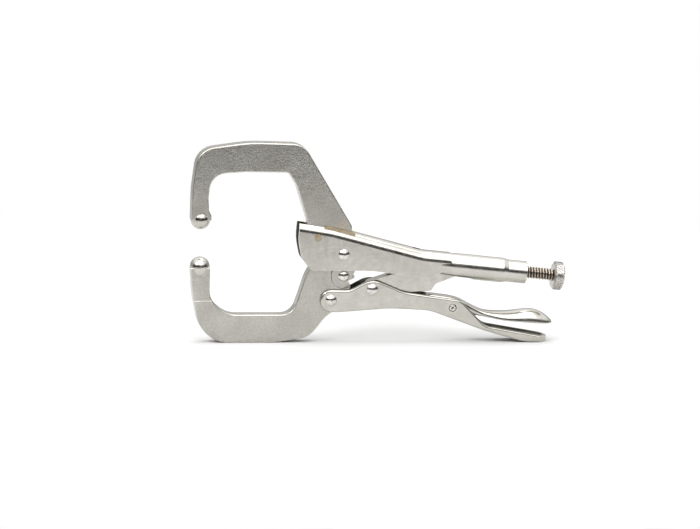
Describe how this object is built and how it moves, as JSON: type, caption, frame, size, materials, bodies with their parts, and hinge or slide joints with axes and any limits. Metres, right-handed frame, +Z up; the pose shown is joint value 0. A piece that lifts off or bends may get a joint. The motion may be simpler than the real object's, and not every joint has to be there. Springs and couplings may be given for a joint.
{
  "type": "locking pliers",
  "caption": "Locking C-clamp pliers with ball tips, a brazed stamped handle, toggle link, release lever and knurled adjusting screw, nickel plated.",
  "frame": {"origin": "middle of the bounding box at its lowest height, where the lower jaw and the tail of the lower handle rest when the tool stands on edge", "axes": "+X along the tool from the jaws to the adjusting knob, +Y through its thickness, +Z up in the plane of the jaws, from the lower jaw to the fixed jaw"},
  "size_m": [0.162, 0.0122, 0.0858],
  "materials": {
    "stamped_plate": "satin nickel plate on stamped sheet",
    "forged_plate": "satin nickel plate on forged steel",
    "rivet_steel": "bright nickel plate",
    "screw_steel": "plated steel, dull in the thread roots",
    "knob_steel": "plated, diamond knurled",
    "spring_steel": "drawn spring wire",
    "braze": "brass braze, dulled"
  },
  "bodies": {
    "frame": {"upper_handle": "stamped_plate", "fixed_jaw": "forged_plate", "jaw_rivet": "rivet_steel", "jaw_pivot_rivet": "rivet_steel", "front_braze_plug": "braze", "rear_braze_plug": "braze", "braze_seam": "braze", "tension_spring": "spring_steel"},
    "moving_jaw": {"lower_jaw": "forged_plate"},
    "grip": {"lower_handle": "stamped_plate", "handle_pivot_rivet": "rivet_steel", "toggle_rivet": "rivet_steel", "release_pin": "rivet_steel"},
    "link": {"toggle_link": "stamped_plate"},
    "lever": {"release_lever": "stamped_plate"},
    "screw": {"adjusting_screw": "screw_steel"},
    "knob": {"screw_knob": "knob_steel"}
  },
  "joints": [
    {"name": "jaw_hinge", "type": "hinge", "parent": "frame", "child": "moving_jaw", "pos_m": [-0.0152, 0, 0.0288], "axis": [0, -1, 0], "range_deg": [0, 40], "deforming": ["tension_spring"]},
    {"name": "grip_hinge", "type": "hinge", "parent": "moving_jaw", "child": "grip", "pos_m": [-0.0206, 0, 0.0185], "axis": [0, -1, 0], "range_deg": [-86.4, 0]},
    {"name": "link_hinge", "type": "hinge", "parent": "grip", "child": "link", "pos_m": [-0.0029, 0, 0.0231], "axis": [0, -1, 0], "range_deg": [0, 70.4]},
    {"name": "lever_hinge", "type": "hinge", "parent": "grip", "child": "lever", "pos_m": [0.0321, 0, 0.0152], "axis": [0, -1, 0], "range_deg": [-6, 3]},
    {"name": "screw_slide", "type": "slide", "parent": "frame", "child": "screw", "axis": [0.9949, 0, -0.1011], "range_m": [0, 0.008]},
    {"name": "knob_turn", "type": "hinge", "parent": "screw", "child": "knob", "pos_m": [0.0645, 0, 0.0295], "axis": [0.9949, 0, -0.1011], "range_deg": [0, 2304]}
  ],
  "couplings": [
    {"joint": "grip_hinge", "follows": "jaw_hinge", "ratio": -2.16},
    {"joint": "link_hinge", "follows": "jaw_hinge", "ratio": 1.76},
    {"joint": "knob_turn", "follows": "screw_slide", "rad_per_m": 5026.5}
  ]
}
